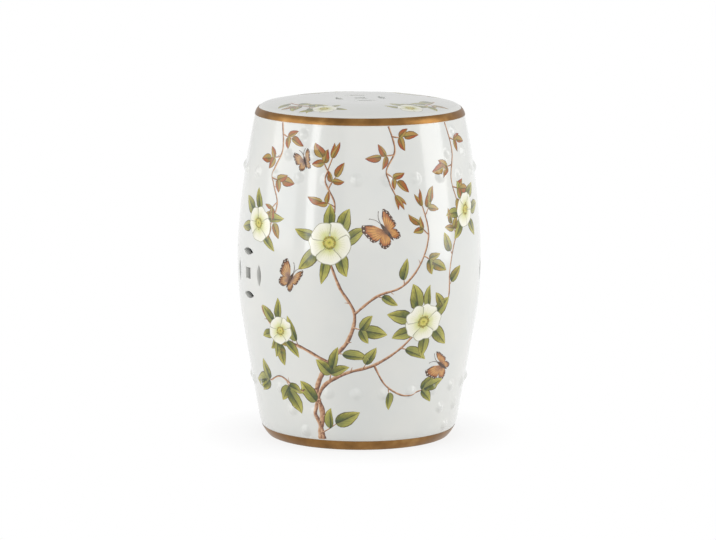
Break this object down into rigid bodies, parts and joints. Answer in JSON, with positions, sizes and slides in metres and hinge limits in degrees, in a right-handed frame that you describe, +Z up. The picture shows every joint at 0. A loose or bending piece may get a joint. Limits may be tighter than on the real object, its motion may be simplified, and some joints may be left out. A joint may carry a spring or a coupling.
{
  "type": "garden stool",
  "caption": "Barrel-shaped glazed ceramic garden stool: bulging pierced drum, domed seat with a coin piercing, gilt bands, raised studs and an open foot.",
  "frame": {"origin": "centre of the standing face of the foot, at floor level", "axes": "+Z up along the drum's axis, -Y towards the front panel, +X and -X towards the two pierced sides"},
  "size_m": [0.3286, 0.3285, 0.457],
  "materials": {
    "glazed_porcelain": "glossy off-white glaze over porcelain",
    "glazed_studs": "glossy off-white glaze over porcelain",
    "unglazed_clay": "matte fired clay, unglazed",
    "gilt": "burnished gilt lustre"
  },
  "bodies": {
    "root": {"barrel_wall": "glazed_porcelain", "seat_disc": "glazed_porcelain", "foot_ring": "unglazed_clay", "seat_band": "gilt", "foot_band": "gilt", "upper_studs_row_1": "glazed_studs", "upper_studs_row_2": "glazed_studs", "upper_studs_row_3": "glazed_studs", "lower_studs_row_1": "glazed_studs", "lower_studs_row_2": "glazed_studs", "lower_studs_row_3": "glazed_studs"}
  },
  "joints": []
}
